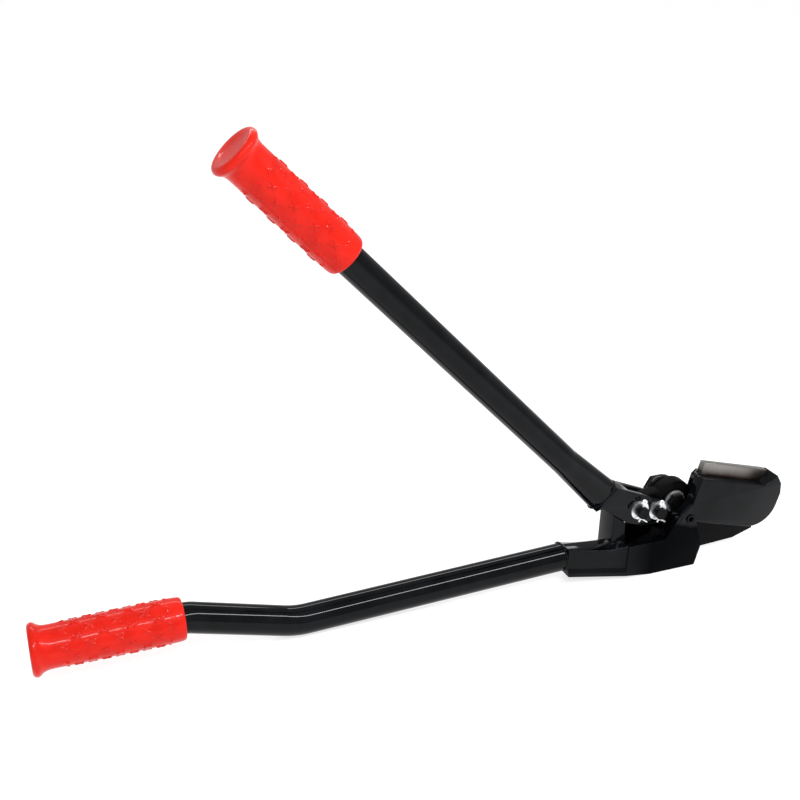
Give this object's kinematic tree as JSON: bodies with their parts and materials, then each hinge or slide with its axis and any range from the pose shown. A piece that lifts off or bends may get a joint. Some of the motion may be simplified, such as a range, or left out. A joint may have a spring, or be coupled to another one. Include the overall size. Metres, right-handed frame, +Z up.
{
  "type": "strap cutter",
  "caption": "Two-handed cutter for wide steel strapping: a heel frame with a fixed upper jaw, and a pivoted long-handled lower jaw.",
  "frame": {"origin": "centre of the tool's bounding box in plan, on the surface that the heel and the lower handle stand on", "axes": "+X toward the jaw nose, +Z up, +Y away from the cutting side; the two handles lie in one upright plane along X"},
  "size_m": [0.588, 0.0436, 0.3636],
  "materials": {
    "black_enamel": "gloss black enamel",
    "ground_steel": "ground tool steel",
    "black_oxide": "black oxide",
    "zinc_plate": "bright zinc plate",
    "bronze": "sintered bronze",
    "red_vinyl": "soft gloss red vinyl"
  },
  "bodies": {
    "frame_and_lower_handle": {"jaw_frame": "black_enamel", "upper_blade": "ground_steel", "upper_blade_screws": "black_oxide", "lock_screw": "black_oxide", "nose_pin": "ground_steel", "lower_handle_tube": "black_enamel", "lower_handle_weld": "black_enamel", "lower_grip": "red_vinyl", "pivot_bolt": "black_oxide", "pivot_spacer": "black_oxide", "pivot_collar": "black_oxide", "pivot_washer": "zinc_plate", "pivot_nut": "black_oxide"},
    "lever_and_upper_handle": {"cutting_lever": "black_enamel", "pivot_bush": "bronze", "lower_blade": "ground_steel", "lower_blade_screws": "black_oxide", "handle_fork": "black_enamel", "fork_pins": "black_oxide", "fork_washers": "zinc_plate", "split_pins": "zinc_plate", "upper_handle_tube": "black_enamel", "upper_grip": "red_vinyl"}
  },
  "joints": [
    {"name": "handle_pivot", "type": "hinge", "parent": "frame_and_lower_handle", "child": "lever_and_upper_handle", "pos_m": [0.20095, 0.0003, 0.0541], "axis": [0, 1, 0], "range_deg": [0, 35]}
  ]
}
